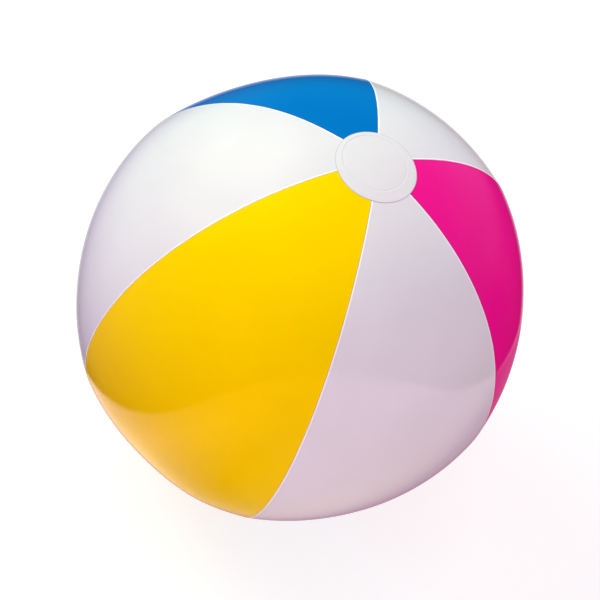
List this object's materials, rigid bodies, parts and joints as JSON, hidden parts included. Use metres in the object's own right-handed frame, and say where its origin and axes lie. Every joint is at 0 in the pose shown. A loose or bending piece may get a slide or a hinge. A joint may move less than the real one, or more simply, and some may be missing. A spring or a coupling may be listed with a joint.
{
  "type": "inflatable beach ball",
  "caption": "Inflated vinyl beach ball of coloured and white film panels with a round disc over each pole and a push-in stem valve with a tethered stopper plug.",
  "frame": {"origin": "centre of the ball", "axes": "+Z along the line through the two end discs, away from the disc that the ball stands on; +Y through the middle of the white panel that holds the valve, so the yellow panel faces -Y"},
  "size_m": [0.3956, 0.3898, 0.403],
  "materials": {
    "yellow_vinyl": "gloss",
    "pink_vinyl": "gloss",
    "blue_vinyl": "gloss",
    "white_vinyl": "gloss",
    "clear_vinyl": "satin"
  },
  "bodies": {
    "ball": {"front_yellow_panel": "yellow_vinyl", "right_white_panel": "white_vinyl", "right_pink_panel": "pink_vinyl", "rear_white_panel": "white_vinyl", "left_blue_panel": "blue_vinyl", "left_white_panel": "white_vinyl", "top_end_disc": "white_vinyl", "bottom_end_disc": "white_vinyl", "valve_flange": "clear_vinyl", "valve_web": "clear_vinyl"},
    "stem": {"valve_stem": "clear_vinyl"},
    "flap": {"check_flap": "clear_vinyl"},
    "plug": {"stopper_plug": "clear_vinyl", "plug_strap": "clear_vinyl"}
  },
  "joints": [
    {"name": "stem_slide", "type": "slide", "parent": "ball", "child": "stem", "axis": [0, 1, 0], "range_m": [0, 0.014], "deforming": ["valve_web"]},
    {"name": "plug_hinge", "type": "hinge", "parent": "stem", "child": "plug", "pos_m": [0, 0.1934, 0.0068], "axis": [1, 0, 0], "range_deg": [0, 120]},
    {"name": "flap_hinge", "type": "hinge", "parent": "stem", "child": "flap", "pos_m": [0, 0.179, 0.0043], "axis": [-1, 0, 0], "range_deg": [0, 60]}
  ]
}
